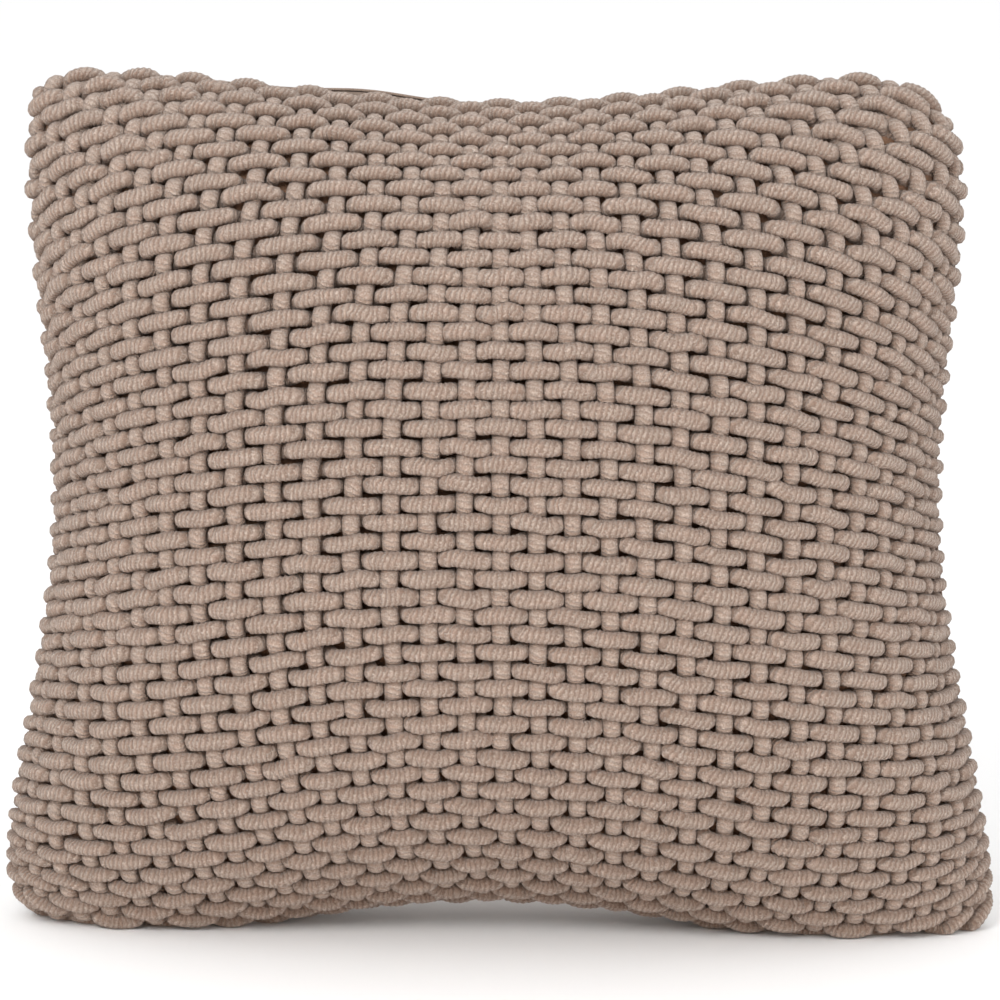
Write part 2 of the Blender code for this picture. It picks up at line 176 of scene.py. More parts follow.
class PillowColours(bpy.types.PropertyGroup):
    cord: colour("Cord", "Main colour of the cords", (0.440, 0.344, 0.284))
    cord_pink: colour("Rose tint", "Warmer fibres of the cords", (0.462, 0.338, 0.272))
    cord_light: colour("Light fibres", "Palest fibres of the cords", (0.74, 0.64, 0.56))
    # cord_dark colours the dark fibres, and also the painted shade in the rib valleys and along the cord
    # sides
    cord_dark: colour("Cord shade", "Colour down between the ribs", (0.150, 0.080, 0.045))
    # the lining's warm brown is partly painted shade, set to the colour of the shade in the gaps between the
    # cords
    lining: colour("Lining", "Cloth behind the weave", (0.36, 0.20, 0.12))
    cloth: colour("Back cloth", "Plain cloth of the back", (0.36, 0.27, 0.215))
    tape: colour("Zip tape", "Woven tape of the zip", (0.27, 0.20, 0.16))
    teeth: colour("Zip teeth", "Teeth and stops", (0.20, 0.155, 0.125))
    metal: colour("Slider", "Slider and pull tab", (0.31, 0.26, 0.21))
    casing: colour("Casing", "Cloth of the insert", (0.82, 0.81, 0.78))
    fibre: colour("Fibre", "Filling of the insert", (0.90, 0.90, 0.88))


class PillowStage(bpy.types.PropertyGroup):
    distance: length("Camera distance", "From the camera to the pillow's middle", 2.0)
    aside: length("Aim aside", "How far beside the middle the camera aims", 0.002)
    azimuth: number("Azimuth", "Camera turn, in degrees", 3.0)
    elevation: number("Elevation", "Camera height, in degrees", 9.0)
    lens: number("Lens", "Focal length in mm", 175.0)
    key: number("Key light", "Strength of the main light", 27.0)
    bounce: number("Bounce", "Warm light off the floor", 2.3)
    overhead: number("Overhead", "Strength of the light above", 3100.0)


# ---------------------------------------------------------------- form of the cover


def raised_cosine(a):
    return 0.5 * (1 + np.cos(np.pi * a))


def smooth_step(a):
    a = np.clip(a, 0, 1)
    return a * a * (3 - 2 * a)


def settled(height):
    soft = (height + SETTLE_SOFTNESS) ** 2 / (4 * SETTLE_SOFTNESS)
    pressed = np.where(height < -SETTLE_SOFTNESS, 0.0, soft)
    return np.where(height > SETTLE_SOFTNESS, height, pressed)


class Cover:
    """The stuffed cover. A point is given by u, across, and v, up, each from -1 to 1."""

    def __init__(self, shape):
        self.shape = shape
        self.height = WOVEN_HIGH[2] + 0.001
        self.front_depth = SEAM_Y - WOVEN_LOW[1]
        self.back_depth = BACK_HIGH[1] - SEAM_Y
        self.zip_y = ZIP_TRAVEL["pos_m"][1]
        self.zip_z = ZIP_TRAVEL["pos_m"][2]
        self.zip_tilt = math.acos(-TAB_SWING["axis"][2])
        self.zip_radius = self.plain_back_at(0.0, self.zip_z) - self.zip_y
        self.zip_half = self.zip_radius * math.asin(TAPE_END / self.zip_radius)

    def half_width(self, v):
        shape = self.shape
        straight = shape.bottom_width + (shape.top_width - shape.bottom_width) * (v + 1) / 2
        return straight / 2 - shape.side_pull * raised_cosine(v)

    def low_edge(self, u):
        return self.shape.bottom_rise * raised_cosine(u) - self.shape.settle

    def high_edge(self, u):
        return self.height - self.shape.top_dip * raised_cosine(u)

    def row_at(self, u, z):
        return 2 * (z - self.low_edge(u)) / (self.high_edge(u) - self.low_edge(u)) - 1

    def outline(self, u, v, inset):
        rounded = 1 - CORNER_CUT * (1 + CORNER_LEAN * u * v) * np.abs(u * v) ** CORNER_POWER
        low = self.low_edge(u) + inset
        high = self.high_edge(u) - inset
        x = u * (self.half_width(v) - inset) * rounded
        z = (low + high) / 2 + v * (high - low) / 2 * rounded
        return x, inset + settled(z - inset)

    def fullness(self, u, v):
        power = self.shape.roundness
        return np.sqrt(np.clip((1 - np.abs(u) ** power) * (1 - np.abs(v) ** power), 0, None))

    def coordinates(self, x, z):
        u = x / self.half_width(0.0)
        for _ in range(12):
            v = self.row_at(u, z)
            u = x / self.half_width(v)
        return u, v

    def plain_back_at(self, x, z):
        return SEAM_Y + self.back_depth * float(self.fullness(*self.coordinates(x, z)))

    def front(self, u, v, rim_inset, depth_inset):
        x, z = self.outline(u, v, rim_inset)
        y = SEAM_Y - (self.front_depth - depth_inset) * self.fullness(u, v)
        return np.stack([x, y, z], axis=-1)

    def back(self, u, v, rim_inset, depth_inset):
        x, z = self.outline(u, v, rim_inset)
        plain = SEAM_Y + (self.back_depth - depth_inset) * self.fullness(u, v)
        reach = self.zip_radius + (z - self.zip_z) * math.tan(self.zip_tilt)
        reach -= depth_inset / math.cos(self.zip_tilt)
        band = self.zip_y + np.sqrt(reach**2 - x**2)
        near_along = smooth_step((self.zip_half + STITCH_END + ZIP_BLEND - np.abs(x)) / ZIP_BLEND)
        near_across = smooth_step((ZIP_BAND + ZIP_BLEND - np.abs(z - self.zip_z)) / ZIP_BLEND)
        return np.stack([x, plain + (band - plain) * near_along * near_across, z], axis=-1)


class WeaveLines:
    """Places the weave on the front, so that cords keep their distance along the cloth."""

    STEPS = 161

    def __init__(self, cover, rim_inset, depth_inset):
        self.cover = cover
        self.insets = (rim_inset, depth_inset)
        self.marks = np.sin(np.linspace(-math.pi / 2, math.pi / 2, self.STEPS))
        self.shares = np.linspace(0, 1, self.STEPS)
        u, v = np.meshgrid(self.marks, self.marks)
        points = cover.front(u, v, *self.insets)
        self.across = self.spread(points)
        self.up = self.spread(points.transpose(1, 0, 2))

    def spread(self, points):
        """For each row of points, the mark at each equal share of its length."""
        steps = np.linalg.norm(np.diff(points, axis=1), axis=2)
        run = np.concatenate([np.zeros((len(steps), 1)), np.cumsum(steps, axis=1)], axis=1)
        return np.array([np.interp(self.shares, row / row[-1], self.marks) for row in run])

    def read(self, table, mark, share):
        row = np.interp(mark, self.marks, np.arange(self.STEPS))
        column = np.clip(share, 0, 1) * (self.STEPS - 1)
        i = np.clip(row.astype(int), 0, self.STEPS - 2)
        j = np.clip(column.astype(int), 0, self.STEPS - 2)
        p = row - i
        q = column - j
        low = table[i, j] * (1 - q) + table[i, j + 1] * q
        high = table[i + 1, j] * (1 - q) + table[i + 1, j + 1] * q
        return low * (1 - p) + high * p

    def locate(self, a, b):
        """The cover's u and v at shares a across and b up."""
        u = 2 * a - 1
        v = 2 * b - 1
        for _ in range(14):
            u = self.read(self.across, v, a)
            v = self.read(self.up, u, b)
        return u, v

    def point(self, a, b):
        u, v = self.locate(a, b)
        return self.cover.front(u, v, *self.insets)

    def outward(self, a, b):
        u, v = self.locate(a, b)
        h = 0.004
        across = self.cover.front(np.clip(u + h, -1, 1), v, *self.insets)
        across -= self.cover.front(np.clip(u - h, -1, 1), v, *self.insets)
        up = self.cover.front(u, np.clip(v + h, -1, 1), *self.insets)
        up -= self.cover.front(u, np.clip(v - h, -1, 1), *self.insets)
        return unit(np.cross(across, up))


def unit(vectors):
    return vectors / np.maximum(np.linalg.norm(vectors, axis=-1, keepdims=True), 1e-12)


# ---------------------------------------------------------------- meshes


def signed_volume(points, triangles):
    a, b, c = (points[triangles[:, k]] for k in range(3))
    return float(np.einsum("ij,ij->i", a, np.cross(b, c)).sum()) / 6


def quads_to_triangles(quads):
    return np.concatenate([quads[:, [0, 1, 2]], quads[:, [0, 2, 3]]])


def make_piece(name, points, quads, triangles, finish, uv=None):
    """A closed mesh of quads and triangles, turned to face outwards."""
    quads = np.asarray(quads, dtype=np.int64).reshape(-1, 4)
    triangles = np.asarray(triangles, dtype=np.int64).reshape(-1, 3)
    everything = np.concatenate([quads_to_triangles(quads), triangles])
    if signed_volume(points, everything) < 0:
        quads = quads[:, ::-1]
        triangles = triangles[:, ::-1]
    mesh = bpy.data.meshes.new(name)
    loops = np.concatenate([quads.ravel(), triangles.ravel()])
    sizes = np.concatenate([np.full(len(quads), 4), np.full(len(triangles), 3)])
    mesh.vertices.add(len(points))
    mesh.vertices.foreach_set("co", points.astype(np.float32).ravel())
    mesh.loops.add(len(loops))
    mesh.loops.foreach_set("vertex_index", loops.astype(np.int32))
    mesh.polygons.add(len(sizes))
    starts = np.concatenate([[0], np.cumsum(sizes)[:-1]])
    mesh.polygons.foreach_set("loop_start", starts.astype(np.int32))
    mesh.update(calc_edges=True)
    if uv is not None:
        layer = mesh.uv_layers.new(name="cord")
        layer.uv.foreach_set("vector", uv[loops].astype(np.float32).ravel())
    mesh.validate()
    mesh.shade_smooth()
    mesh.materials.append(finish)
    piece = bpy.data.objects.new(name, mesh)
    bpy.context.scene.collection.objects.link(piece)
    return piece


def cord_piece(name, path, outward, half_width, half_depth, finish, rib, order):
    """A closed cord along a path. rib gives the share that each ring point stands out."""
    ring = CORD_RING
    count = len(path)
    tangent = unit(np.gradient(path, axis=0))
    side = unit(np.cross(tangent, outward))
    top = np.cross(side, tangent)
    angle = np.linspace(0, 2 * math.pi, ring, endpoint=False)
    across = np.sign(np.cos(angle)) * np.abs(np.cos(angle)) ** CORD_SQUARENESS
    above = np.sign(np.sin(angle)) * np.abs(np.sin(angle)) ** CORD_SQUARENESS
    points = path[:, None, :] + side[:, None, :] * (half_width[:, None] * across * rib)[..., None]
    points += top[:, None, :] * (half_depth[:, None] * above * rib)[..., None]
    run = np.concatenate([[0], np.cumsum(np.linalg.norm(np.diff(path, axis=0), axis=1))])
    points[..., 2] = settled(points[..., 2])
    run += order * CORD_SHIFT
    uv = np.stack([np.repeat(run, ring), np.tile(np.abs(np.linspace(-1, 1, ring)), count)], axis=1)
    i = np.arange(count - 1)[:, None] * ring
    k = np.arange(ring)[None, :]
    following = (k + 1) % ring
    quads = np.stack([i + k, i + following, i + ring + following, i + ring + k], axis=-1).reshape(-1, 4)
    last = (count - 1) * ring
    centres = np.array([path[0], path[-1]])
    first_centre = count * ring
    k = np.arange(ring)
    start = np.stack([np.full(ring, first_centre), (k + 1) % ring, k], axis=1)
    end = np.stack([np.full(ring, first_centre + 1), last + k, last + (k + 1) % ring], axis=1)
    points = np.concatenate([points.reshape(-1, 3), centres])
    uv = np.concatenate([uv, [[run[0], 0], [run[-1], 0]]])
    return make_piece(name, points, quads, np.concatenate([start, end]), finish, uv)


def sheet_piece(name, outer, inner, finish, uv=None):
    """A closed sheet between two matching grids of points."""
    rows, columns = outer.shape[:2]
    count = rows * columns
    corner = (np.arange(rows - 1)[:, None] * columns + np.arange(columns - 1)[None, :]).ravel()
    face = np.stack([corner, corner + 1, corner + columns + 1, corner + columns], axis=1)
    bottom = np.arange(columns)
    right = np.arange(1, rows) * columns + columns - 1
    top = (rows - 1) * columns + np.arange(columns - 2, -1, -1)
    left = np.arange(rows - 2, 0, -1) * columns
    rim = np.concatenate([bottom, right, top, left])
    following = np.roll(rim, -1)
    wall = np.stack([following, rim, rim + count, following + count], axis=1)
    quads = np.concatenate([face, face[:, ::-1] + count, wall])
    points = np.concatenate([outer.reshape(-1, 3), inner.reshape(-1, 3)])
    uv = None if uv is None else np.concatenate([uv.reshape(-1, 2)] * 2)
    return make_piece(name, points, quads, [], finish, uv)


def belongs(piece, body, slot, *nodes):
    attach(piece, body)
    if nodes:
        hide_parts(*nodes)


# ---------------------------------------------------------------- materials


class Wire:
    """A shader socket that can be used in sums."""

    def __init__(self, board, socket):
        self.board = board
        self.socket = socket

    def sum(self, operation, first, second):
        return self.board.add("ShaderNodeMath", {"operation": operation}, [first, second])

    def __add__(self, other):
        return self.sum("ADD", self, other)

    __radd__ = __add__

    def __sub__(self, other):
        return self.sum("SUBTRACT", self, other)

    def __rsub__(self, other):
        return self.sum("SUBTRACT", other, self)

    def __mul__(self, other):
        return self.sum("MULTIPLY", self, other)

    __rmul__ = __mul__

    def __pow__(self, other):
        return self.sum("POWER", self, other)


class Board:
    """One material's nodes."""

    def __init__(self, name):
        self.material = bpy.data.materials.new(name)
        self.material.use_nodes = True
        self.tree = self.material.node_tree
        self.shader = self.tree.nodes["Principled BSDF"]

    def put(self, socket, value):
        if isinstance(value, Wire):
            self.tree.links.new(value.socket, socket)
        elif hasattr(socket.default_value, "__len__") and len(socket.default_value) == 4:
            socket.default_value = (*value[:3], 1)
        else:
            socket.default_value = value

    def add(self, kind, settings, values, output=0):
        """A node of a kind, with its settings, then the values or wires of its sockets."""
        node = self.tree.nodes.new(kind)
        for key, setting in settings.items():
            setattr(node, key, setting)
        pairs = values.items() if isinstance(values, dict) else enumerate(values)
        for key, value in pairs:
            self.put(node.inputs[key], value)
        return Wire(self, node.outputs[output])

    def place(self):
        return self.add("ShaderNodeTexCoord", {}, [], "Object")

    def cord_map(self):
        """Length along a cord and place round it, together and apart."""
        both = self.add("ShaderNodeUVMap", {"uv_map": "cord"}, [])
        return (both, *(self.add("ShaderNodeSeparateXYZ", {}, [both], k) for k in (0, 1)))

    def noise(self, scale, detail=2.0, vector=None):
        values = {"Vector": vector or self.place(), "Scale": scale, "Detail": detail, "Roughness": 0.6}
        return self.add("ShaderNodeTexNoise", {}, values)

    def ramp(self, wire, low, high):
        """0 below low and 1 above high."""
        values = {"Value": wire, "From Min": low, "From Max": high}
        return self.add("ShaderNodeMapRange", {"clamp": True}, values)

    def wave(self, wire):
        """A wave from 0 to 1 with one turn for each unit."""
        turn = self.add("ShaderNodeMath", {"operation": "SINE"}, [wire * (2 * math.pi)])
        return turn * 0.5 + 0.5

    def blend(self, factor, first, second):
        settings = {"data_type": "RGBA", "blend_type": "MIX"}
        return self.add("ShaderNodeMix", settings, {0: factor, 6: first, 7: second}, 2)

    def bump(self, height, distance, strength=1.0):
        values = {"Height": height, "Distance": distance, "Strength": strength}
        return self.add("ShaderNodeBump", {}, values)

    def finish(self, **values):
        for key, value in values.items():
            self.put(self.shader.inputs[key.replace("_", " ")], value)
        return self.material


def shaded(tone, share):
    return tuple(channel * share for channel in tone)


def cord_finish(name, colours, rib_pitch, groove_shade_share, lightness):
    """Soft ribbed cord, with pale, rosy and dark fibres, painted shade in the rib valleys and painted shade
    along its sides.
    """
    board = Board(name)
    both, run, around = board.cord_map()
    fibres = board.noise(FIBRE_GRAIN, 3.0)
    flecks = board.noise(FLECK_GRAIN, 3.0)
    patches = board.noise(PATCH_GRAIN, 2.0)
    lengths = board.noise(LENGTH_GRAIN, 2.0, both)
    ribs = board.wave(run * (1 / rib_pitch) + around * 1.1 + patches * 1.7 + flecks * 0.9)
    main = shaded(colours.cord, lightness)
    tone = board.blend(board.ramp(patches, 0.40, 0.62), main, colours.cord_pink)
    worn = shaded(colours.cord, 0.86 * lightness)
    tone = board.blend(board.ramp(lengths, 0.35, 0.65) * 0.35, tone, worn)
    tone = board.blend(board.ramp(flecks, 0.46, 0.68) * 0.75, tone, colours.cord_light)
    tone = board.blend(board.ramp(fibres, 0.44, 0.70) * 0.62, tone, shaded(colours.cord_dark, 1.35))
    # painted shade: darker down between the ribs, where the grooves lie in shadow
    tone = board.blend((1 - ribs) ** 1.6 * groove_shade_share, tone, colours.cord_dark)
    # painted shade: the cord's sides are darkened as if in their own shadow
    beside = board.add("ShaderNodeMath", {"operation": "ABSOLUTE"}, [around * 2.0 - 1.0])
    tone = board.blend(board.ramp(beside, 0.3, 1.0) * 0.55, tone, colours.cord_dark)
    height = ribs * 0.8 + flecks * 1.2 + fibres * 1.1
    return board.finish(
        Base_Color=tone,
        Roughness=0.95,
        Specular_IOR_Level=0.12,
        Sheen_Weight=0.3,
        Sheen_Roughness=0.6,
        Sheen_Tint=(1.0, 0.95, 0.92),
        Normal=board.bump(height, 0.0007, 1.0),
    )


def cloth_finish(name, tone, thread, depth=0.00012):
    """Plain-woven cloth with a fine thread pitch, and painted shade between its threads."""
    board = Board(name)
    _, across, up = board.cord_map()
    warp = board.wave(across * (1 / thread))
    weft = board.wave(up * (1 / thread))
    over = board.wave(across * (0.5 / thread) + up * (0.5 / thread))
    thick = board.noise(420.0, 3.0)
    broad = board.noise(14.0, 2.0)
    threads = warp * over + weft * (1 - over)
    # woven pattern with painted shade: darker between the threads, lighter on their tops
    base = board.blend(threads * 0.6, shaded(tone, 0.68), shaded(tone, 1.12))
    base = board.blend(board.ramp(thick, 0.35, 0.7) * 0.35, base, shaded(tone, 0.78))
    base = board.blend(board.ramp(broad, 0.35, 0.7) * 0.25, base, shaded(tone, 1.15))
    return board.finish(
        Base_Color=base,
        Roughness=0.88,
        Specular_IOR_Level=0.2,
        Sheen_Weight=0.15,
        Sheen_Roughness=0.5,
        Normal=board.bump(threads + thick * 0.4, depth * 4, 0.8),
    )


def plain_finish(name, tone, roughness, metallic=0.0, grain=1200.0, depth=0.00005):
    """A worn metal, plastic or thread with a fine grain."""
    board = Board(name)
    grains = board.noise(grain, 4.0)
    smears = board.noise(grain / 12, 3.0)
    base = board.blend(board.ramp(smears, 0.35, 0.7) * 0.6, shaded(tone, 1.12), shaded(tone, 0.72))
    return board.finish(
        Base_Color=base,
        Roughness=board.ramp(smears, 0.2, 0.8) * 0.2 + (roughness - 0.08),
        Metallic=metallic,
        Normal=board.bump(grains, depth, 0.5),
    )


# ---------------------------------------------------------------- woven front


def settings():
    scene = bpy.context.scene
    return scene.pillow_shape, scene.pillow_weave, scene.pillow_colours, scene.pillow_stage


def uneven(random, places, count, share):
    """A wandering along a cord, in straight runs between random knots."""
    knots = random.normal(0.0, share, count)
    return np.interp(places, np.linspace(0, 1, count), knots)


def make_lines():
    shape, weave, _, _ = settings()
    return WeaveLines(Cover(shape), weave.rim, weave.middle)


def weave_point(lines, a, b, weave):
    """The place and outward direction in the cloth, whose rows arch upwards in the middle."""
    free = smooth_step(b / ROWS_FREE_BELOW) * smooth_step((1 - b) / ROWS_FREE_ABOVE)
    bend = 0.6 * smooth_step((b - 0.5) / 0.25) + 0.1 - 0.5 * (1 - smooth_step(b / 0.3))
    left, right = (
        t**2 * (1 + bend - 0.9 * bend * t)
        for t in (np.clip(1 - side / weave.arch_reach, 0, 1) for side in (a, 1 - a))
    )
    rise = weave.row_rise - weave.row_drop * ((1.45 - 0.7 * b) * left + (1.15 - 0.15 * b) * right)
    upper = smooth_step((b - 0.12) / 0.36)
    drift = weave.drift * np.exp(-(((a - DRIFT_PLACE) / DRIFT_SPREAD) ** 2))
    drift = drift * smooth_step(a / DRIFT_RIM)
    gather = weave.gather * (GATHER_BELOW + 0.85 * smooth_step((b - 0.5) / GATHER_REACH)) * free
    a = a - gather * np.sin(2 * math.tau * a) / (2 * math.tau)
    drift = drift * (upper - DRIFT_BACK * (1 - upper) * smooth_step(b / 0.1))
    b = b + free * rise
    a = a - drift
    return lines.point(a, b), lines.outward(a, b)


def resampled(path, outward, shares, step):
    """The path and its directions at even steps along it, with each step's share."""
    run = np.concatenate([[0], np.cumsum(np.linalg.norm(np.diff(path, axis=0), axis=1))])
    places = np.linspace(0, run[-1], int(run[-1] / step) + 1)
    columns = [np.interp(places, run, values) for values in (*path.T, *outward.T, shares)]
    return np.stack(columns[:3], axis=1), unit(np.stack(columns[3:6], axis=1)), columns[6]


def add_wefts():
    """The crossing cords, which float over one warp and dive under the next."""
    _, weave, colours, _ = settings()
    lines = make_lines()
    finish = cord_finish("weft_cord", colours, weave.rib_pitch, 0.55, 1.0)
    random = np.random.default_rng(weave.seed)
    fine = np.linspace(0, 1, LINE_SAMPLES)
    angle = np.linspace(0, 2 * math.pi, CORD_RING, endpoint=False)
    for j in range(weave.wefts):
        stray = uneven(random, fine, weave.warps * 2, 0.07)
        b = (j + 0.5 + stray) / weave.wefts
        off_under = np.abs((fine * weave.warps - 0.5 - j) % 2 - 1)
        lift = smooth_step((off_under - weave.dive_start) / (weave.dive_end - weave.dive_start))
        path, outward = weave_point(lines, fine, np.clip(b, 0, 1), weave)
        lift *= 1 - weave.arch * (1 - np.cos(math.pi / 2 * np.clip((1 - off_under) / 0.75, 0, 1)))
        rise = (weave.weft_wave + weave.weft_dive) * lift - weave.weft_dive
        path = path + outward * rise[:, None]
        path, outward, a = resampled(path, outward, fine, weave.rib_pitch / RIB_SAMPLES)
        level = np.full_like(a, (j + 0.5) / weave.wefts)
        here, _ = weave_point(lines, a, level, weave)
        beside, _ = weave_point(lines, a, level + 0.5 / weave.wefts, weave)
        pitch = 2 * np.linalg.norm(beside - here, axis=1)
        swell = 1 + random.normal(0, 0.03) + uneven(random, a, weave.warps * 3, 0.035)
        half_width = np.clip(pitch * 0.462, weave.weft_width * 0.36, weave.weft_width / 2) * swell
        half_depth = weave.weft_depth / 2 * swell
        turn = np.arange(len(a)) * 2 * math.pi / RIB_SAMPLES + uneven(random, a, weave.warps * 5, 0.9)
        slant = 1.1 + uneven(random, a, weave.warps * 2, 0.7)
        ridge = np.cos(turn[:, None] + slant[:, None] * angle[None, :])
        strength = 1 + uneven(random, a, weave.warps * 4, 0.35)
        rib = 1 + strength[:, None] * weave.rib_depth / (weave.weft_width / 2) * ridge
        piece = cord_piece(f"weft_{j + 1:02d}", path, outward, half_width, half_depth, finish, rib, j)
        belongs(piece, "cover", "woven_cord", "woven_front")


def add_warps():
    """The upright cords, flatter and smoother than the wefts."""
    _, weave, colours, _ = settings()
    lines = make_lines()
    finish = cord_finish("warp_cord", colours, weave.rib_pitch * 0.8, 0.22, 1.06)
    random = np.random.default_rng(weave.seed + 1)
    count = WARP_SAMPLES * weave.wefts
    b = np.linspace(0, 1, count)
    crossing = b * weave.wefts - 0.5
    for i in range(weave.warps):
        stray = uneven(random, b, weave.wefts // 2, 0.03)
        a = (i + 0.5 + stray) / weave.warps
        over = np.clip(-np.cos(math.pi * (crossing + i)), 0, 1)
        lift = over**0.8 - 0.2
        path, outward = weave_point(lines, np.clip(a, 0, 1), b, weave)
        path = path + outward * (weave.warp_wave * lift)[:, None]
        swell = 1 + uneven(random, b, weave.wefts, 0.03)
        half_width = weave.warp_width / 2 * swell
        half_depth = weave.warp_depth / 2 * swell
        even = np.ones((count, 1))
        piece = cord_piece(f"warp_{i + 1:02d}", path, outward, half_width, half_depth, finish, even, -i)
        belongs(piece, "cover", "woven_cord", "woven_front")


def clustered(count):
    return np.sin(np.linspace(-math.pi / 2, math.pi / 2, count + 1))


def cloth_uv(outer):
    """Distances in metres across and up a grid of points."""
    across = np.linalg.norm(np.diff(outer, axis=1), axis=2)
    across = np.concatenate([np.zeros((len(outer), 1)), np.cumsum(across, axis=1)], axis=1)
    across -= across[:, -1:] / 2
    up = np.linalg.norm(np.diff(outer, axis=0), axis=2)
    up = np.concatenate([np.zeros((1, outer.shape[1])), np.cumsum(up, axis=0)], axis=0)
    return np.stack([across, up], axis=-1)


def cut_size(outer):
    """The flat width and length of a grid of points, at its longest."""
    across = np.linalg.norm(np.diff(outer, axis=1), axis=2).sum(axis=1).max()
    up = np.linalg.norm(np.diff(outer, axis=0), axis=2).sum(axis=0).max()
    return float(across), float(up)


def add_lining():
    shape, weave, colours, _ = settings()
    cover = Cover(shape)
    behind = weave.middle + weave.weft_dive + weave.weft_depth / 2
    thickness = LINING_THICKNESS
    u, v = np.meshgrid(clustered(72), clustered(72))
    outer = cover.front(u, v, weave.rim, behind)
    inner = cover.front(u, v, weave.rim + thickness, behind + thickness)
    # the lining's colour is partly painted shade, so that the gaps between the cords show warm shade
    finish = cloth_finish("brown_lining", colours.lining, 0.0007)
    piece = sheet_piece("front_lining_cloth", outer, inner, finish, cloth_uv(outer))
    belongs(piece, "cover", "brown_lining", "front_lining")
    cut_size(outer)


# ---------------------------------------------------------------- back and zip


def puckers(cover, u, v):
    """How far the back cloth stands out, with soft folds that start at the seam."""
    x, z = cover.outline(u, v, 0.0)
    rim = np.minimum(1 - np.abs(u), 1 - np.abs(v))
    near_seam = np.exp(-rim / 0.16) * smooth_step(rim / 0.03)
    folds = np.sin(x * 170 + 1.3 * np.sin(z * 31)) * np.exp(-(1 - np.abs(v)) / 0.14)
    folds += np.sin(z * 160 + 1.7 * np.sin(x * 27)) * np.exp(-(1 - np.abs(u)) / 0.14)
    broad = np.sin(x * 23 + 1.1) * np.sin(z * 19 + 0.4) + 0.6 * np.sin(x * 41 - z * 33)
    off_zip = smooth_step((np.abs(z - cover.zip_z) - 0.016) / 0.03)
    past_zip = smooth_step((np.abs(x) - cover.zip_half - 0.012) / 0.02)
    out = FOLD_HEIGHT * folds * near_seam + BROAD_HEIGHT * broad * smooth_step(rim / 0.2)
    return out * np.maximum(off_zip, past_zip)


def add_back_panels():
    shape, _, colours, _ = settings()
    cover = Cover(shape)
    finish = cloth_finish("back_cloth", colours.cloth, 0.0008)
    thickness = PANEL_THICKNESS
    zip_u, _ = cover.coordinates(cover.zip_half - SLIT_SHORT, cover.zip_z)
    turn_u = SLIT_TURN / cover.half_width(0.0)
    columns = clustered(110)
    columns = columns[np.abs(np.abs(columns) - zip_u) > 1.2 * turn_u]
    columns = np.sort([*columns, -zip_u, zip_u])
    open_share = smooth_step((zip_u + turn_u - np.abs(columns)) / turn_u)
    opening = SLIT_CLOSED + (ZIP_EDGE - SLIT_CLOSED) * open_share
    for name, node, side, rows in (
        ("back_cloth_upper", "back_panel_upper", 1, 84),
        ("back_cloth_lower", "back_panel_lower", -1, 40),
    ):
        edge = cover.row_at(columns, cover.zip_z + side * opening * math.cos(cover.zip_tilt))
        spread = np.sin(np.linspace(0, math.pi / 2, rows + 1))[:, None]
        v = edge + (side - edge) * spread
        u = np.broadcast_to(columns, v.shape)
        out = puckers(cover, u, v)
        rim = tucked(u, v, PANEL_RIM) - taut(u, v)
        outer = cover.back(u, v, rim, -out)
        inner = cover.back(u, v, rim + thickness, thickness - out)
        piece = sheet_piece(name, outer, inner, finish, cloth_uv(outer))
        belongs(piece, "cover", "back_cloth", node)
        cut_size(outer)


def tucked(u, v, inset):
    """An inset that grows towards the corners, where the cords wrap round."""
    return inset + 0.008 * np.abs(u * v) ** 7


def taut(u, v):
    """How far the cloth of the back shows above the cords, left of the top's middle."""
    return 0.0030 * np.exp(-(((u + 0.27) / 0.13) ** 2)) * smooth_step((v - 0.8) / 0.2)


def add_seam_edge():
    """The turned-in seam allowance, with its overlocked edge."""
    shape, _, colours, _ = settings()
    cover = Cover(shape)
    side = np.linspace(-1, 1, 401)[:-1]
    ones = np.ones_like(side)
    u = np.concatenate([side, ones, -side, -ones])
    v = np.concatenate([-ones, side, ones, -side])
    loops = SEAM_LOOP * np.sin(np.arange(len(u)) * 2 * math.pi / 4)
    corners = []
    for inset, y in SEAM_SECTION:
        x, z = cover.outline(u, v, tucked(u, v, inset) - taut(u, v))
        corners.append(np.stack([x, SEAM_Y + y + loops * (inset == SEAM_TURNED), z], axis=-1))
    points = np.stack(corners, axis=1)
    count = len(u)
    i = np.arange(count)[:, None]
    k = np.arange(4)[None, :]
    following = (i + 1) % count
    turned = (k + 1) % 4
    quads = np.stack([i * 4 + k, following * 4 + k, following * 4 + turned, i * 4 + turned], axis=-1)
    finish = plain_finish("overlocked_edge", shaded(colours.cloth, 0.62), 0.9, grain=1500.0, depth=0.0002)
    piece = make_piece("seam_edge", points.reshape(-1, 3), quads.reshape(-1, 4), [], finish)
    belongs(piece, "cover", "overlocked_edge", "seam_allowance")
    run = np.linalg.norm(np.diff(points[:, 0], axis=0), axis=1).sum()


def dress(node, finish):
    found = frame["nodes"][node]
    found.data.materials.clear()
    found.data.materials.append(finish)


def add_zip():
    _, _, colours, _ = settings()
    tape = plain_finish("tape_cloth", colours.tape, 0.85, grain=1800.0, depth=0.0001)
    teeth = plain_finish("zip_teeth", colours.teeth, 0.42)
    metal = plain_finish("zip_metal", colours.metal, 0.32, 0.95, grain=900.0)
    thread = plain_finish("stitch_thread", colours.tape, 0.7, grain=2500.0, depth=0.0001)
    for node in ("zip_tape_upper", "zip_tape_lower"):
        dress(node, tape)
    for node in ("zip_teeth_upper", "zip_teeth_lower"):
        dress(node, teeth)
    for node in ("zip_top_stop_upper", "zip_top_stop_lower", "zip_bottom_stop"):
        dress(node, metal)
    for node in ("zip_slider", "zip_pull_tab"):
        dress(node, metal)
    dress("zip_topstitch", thread)


# ---------------------------------------------------------------- insert


